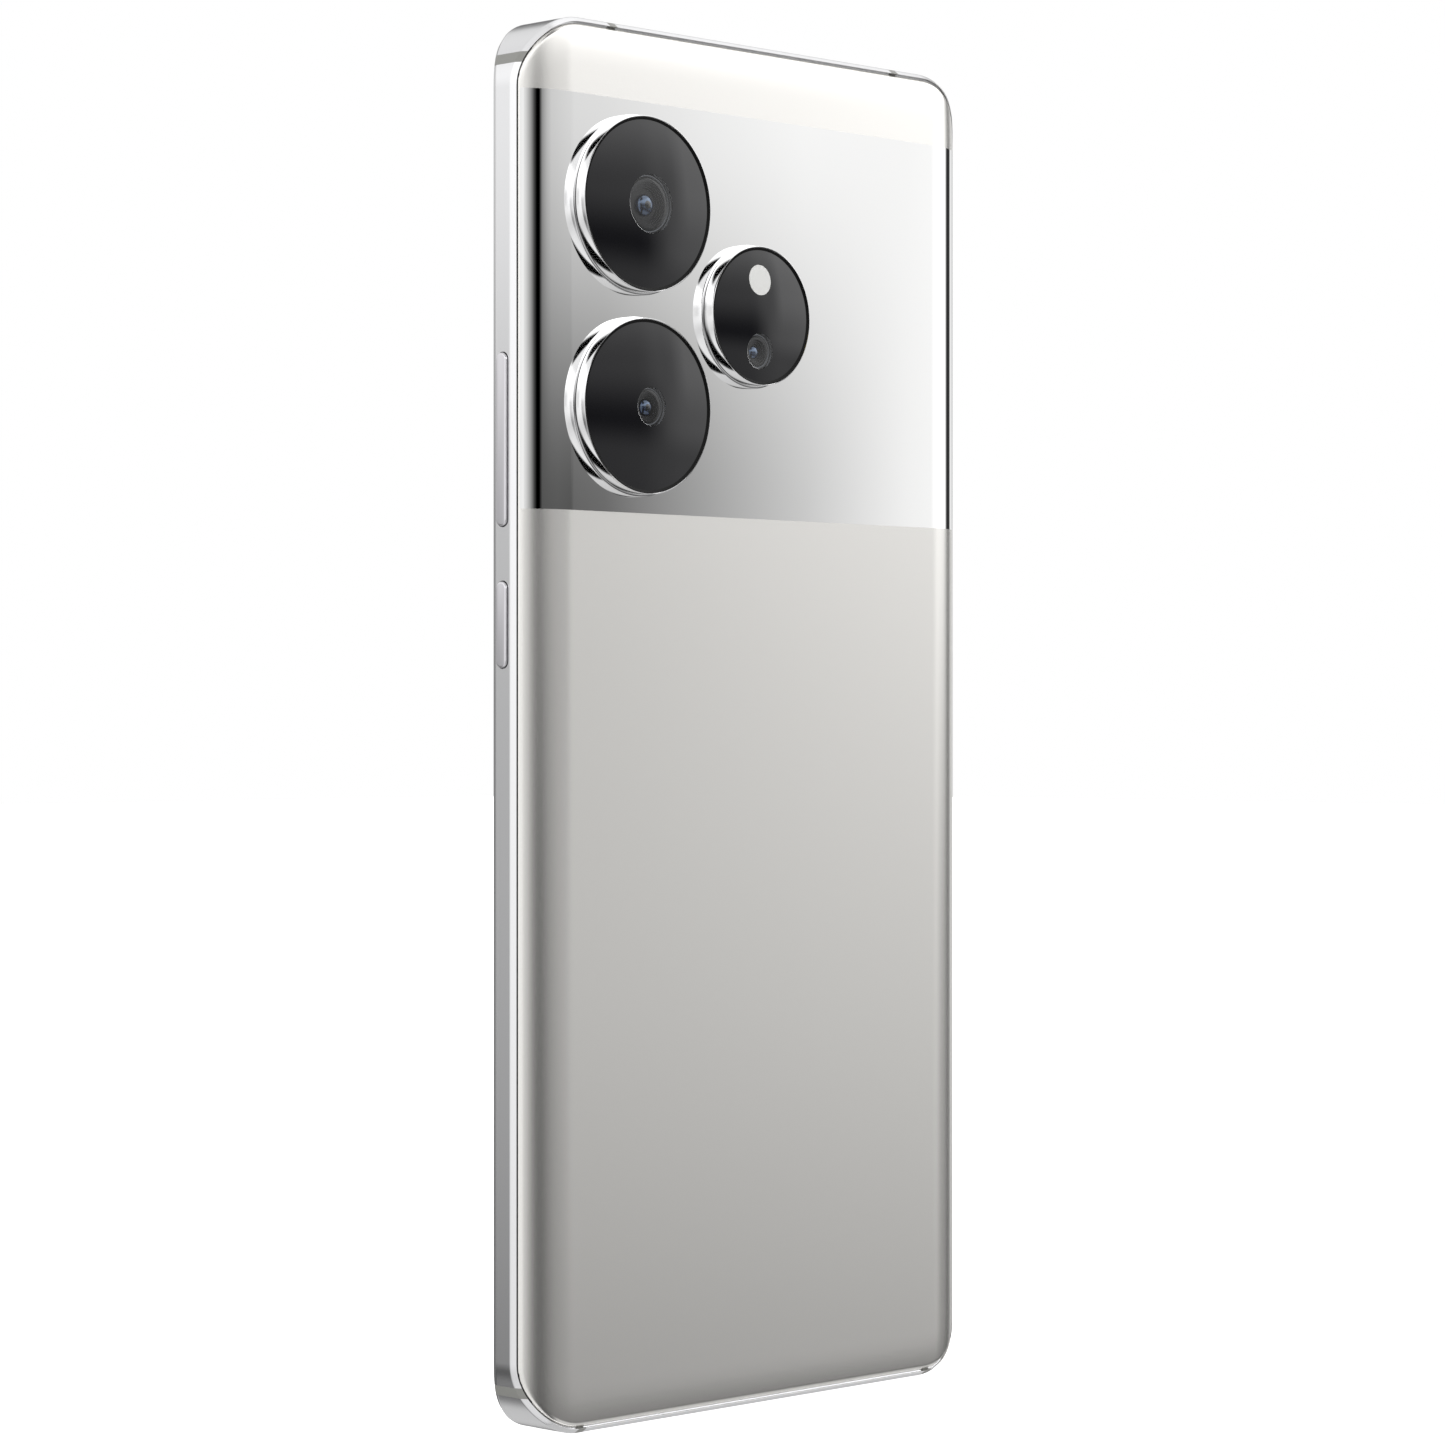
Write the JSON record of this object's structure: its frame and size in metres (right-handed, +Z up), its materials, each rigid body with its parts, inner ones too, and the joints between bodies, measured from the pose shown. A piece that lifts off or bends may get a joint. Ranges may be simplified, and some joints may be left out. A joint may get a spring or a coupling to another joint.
{
  "type": "smartphone",
  "caption": "Slim smartphone with curved front and back glass, a metal side frame, raised round camera rings, side keys and a bottom socket.",
  "frame": {"origin": "centre of the charging socket's mouth, in the middle of the bottom edge", "axes": "+Z up the phone's length, +Y out of its back glass, -Y out of its screen, +X towards the side with the keys"},
  "size_m": [0.0754, 0.012, 0.162],
  "materials": {
    "frame_metal": "polished",
    "antenna_plastic": "satin",
    "screen_glass": "polished",
    "glue": "matt",
    "display_panel": "gloss",
    "ribbon": "satin",
    "sensor": "gloss",
    "back_glass": "satin etched",
    "mirror_film": "mirror gloss",
    "graphite": "satin",
    "ring_metal": "polished",
    "seal_rubber": "matt",
    "lens_glass": "polished",
    "camera_housing": "satin",
    "lens_barrel": "gloss",
    "led": "gloss",
    "flash_lens": "frosted",
    "steel": "brushed",
    "key_metal": "satin",
    "black_plastic": "satin",
    "board": "satin",
    "driver_metal": "satin",
    "mesh": "woven",
    "gold_cap": "polished",
    "copper": "satin",
    "battery_pouch": "satin",
    "tape": "matt",
    "haptic_weight": "satin",
    "screw_steel": "polished"
  },
  "bodies": {
    "phone": {"mid_frame": "frame_metal", "antenna_breaks": "antenna_plastic", "display_glass": "screen_glass", "display_adhesive": "glue", "display_panel": "display_panel", "display_flex": "ribbon", "fingerprint_sensor": "sensor", "proximity_sensor": "sensor", "back_cover": "back_glass", "mirror_panel": "mirror_film", "back_adhesive": "glue", "graphite_sheet": "graphite", "camera_ring_a": "ring_metal", "camera_ring_b": "ring_metal", "camera_ring_c": "ring_metal", "ring_gaskets": "seal_rubber", "lens_cover_a": "lens_glass", "lens_cover_b": "lens_glass", "lens_cover_c": "lens_glass", "main_camera": "camera_housing", "second_camera": "camera_housing", "small_camera": "camera_housing", "flash_led": "led", "flash_lens": "flash_lens", "camera_bracket": "steel", "front_camera": "camera_housing", "key_flex": "ribbon", "key_switches": "steel", "sim_reader": "steel", "usb_shell": "steel", "usb_tongue": "black_plastic", "usb_seal": "seal_rubber", "sub_board": "board", "speaker_box": "black_plastic", "speaker_driver": "driver_metal", "speaker_mesh": "mesh", "bottom_microphone": "gold_cap", "top_microphone": "gold_cap", "earpiece": "driver_metal", "earpiece_mesh": "mesh", "main_board": "board", "processor": "black_plastic", "shield_cans": "steel", "vapour_chamber": "copper", "battery": "battery_pouch", "battery_adhesive": "tape", "main_flex": "ribbon", "haptic_case": "steel", "upper_bracket": "black_plastic", "lower_bracket": "black_plastic", "screws": "screw_steel"},
    "volume_key": {"volume_key": "key_metal"},
    "power_key": {"power_key": "key_metal"},
    "sim_tray": {"sim_tray": "key_metal", "sim_tray_seal": "seal_rubber"},
    "sim_eject_rod": {"sim_eject_rod": "steel"},
    "sim_eject_lever": {"sim_eject_lever": "steel"},
    "main_lens": {"main_lens": "lens_barrel"},
    "second_lens": {"second_lens": "lens_barrel"},
    "haptic_mass": {"haptic_mass": "haptic_weight"}
  },
  "joints": [
    {"name": "volume_rock", "type": "hinge", "parent": "phone", "child": "volume_key", "pos_m": [0.0356, 0, 0.11345], "axis": [0, 1, 0], "range_deg": [-1.75, 1.75], "stiffness_Nm_per_rad": 0.12},
    {"name": "power_press", "type": "slide", "parent": "phone", "child": "power_key", "axis": [-1, 0, 0], "range_m": [0, 0.00025], "stiffness_N_per_m": 1500},
    {"name": "tray_slide", "type": "slide", "parent": "phone", "child": "sim_tray", "axis": [0, 0, -1], "range_m": [0, 0.02]},
    {"name": "eject_push", "type": "slide", "parent": "phone", "child": "sim_eject_rod", "axis": [0, 0, 1], "range_m": [0, 0.0012]},
    {"name": "eject_swing", "type": "hinge", "parent": "phone", "child": "sim_eject_lever", "pos_m": [-0.015, 0, 0.0242], "axis": [0, -1, 0], "range_deg": [0, 15.7]},
    {"name": "main_focus", "type": "slide", "parent": "phone", "child": "main_lens", "axis": [0, 1, 0], "range_m": [0, 0.0003], "stiffness_N_per_m": 200},
    {"name": "second_focus", "type": "slide", "parent": "phone", "child": "second_lens", "axis": [0, 1, 0], "range_m": [0, 0.0003], "stiffness_N_per_m": 200},
    {"name": "haptic_shake", "type": "slide", "parent": "phone", "child": "haptic_mass", "axis": [0, 0, 1], "range_m": [-0.0004, 0.0004], "stiffness_N_per_m": 700}
  ],
  "couplings": [
    {"joint": "eject_swing", "follows": "eject_push", "rad_per_m": 227.27}
  ]
}
